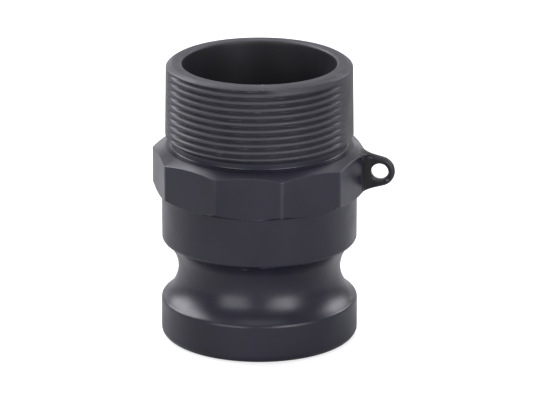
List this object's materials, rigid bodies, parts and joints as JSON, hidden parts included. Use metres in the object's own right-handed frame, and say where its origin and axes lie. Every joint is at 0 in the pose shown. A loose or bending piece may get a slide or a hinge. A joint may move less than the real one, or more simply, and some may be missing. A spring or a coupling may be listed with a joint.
{
  "type": "camlock adapter",
  "caption": "Male camlock adapter with a cam-grooved nose, a faceted wrench collar with a moulded lanyard lug, and a tapered male pipe thread, open right through.",
  "frame": {"origin": "on the bore's axis, at the adapter's centre of mass, 42.3 mm above the nose's end face and 48.1 mm below the thread's end face", "axes": "+Z along the bore's axis from the nose to the thread, +X from the axis through the lanyard lug, +Y square to a wrench flat"},
  "size_m": [0.0779, 0.0656, 0.0904],
  "materials": {
    "moulding": "satin"
  },
  "bodies": {
    "root": {"nose_ring": "moulding", "cam_groove_neck": "moulding", "shoulder_band": "moulding", "wrench_collar": "moulding", "lanyard_lug": "moulding", "threaded_spigot": "moulding"}
  },
  "joints": []
}
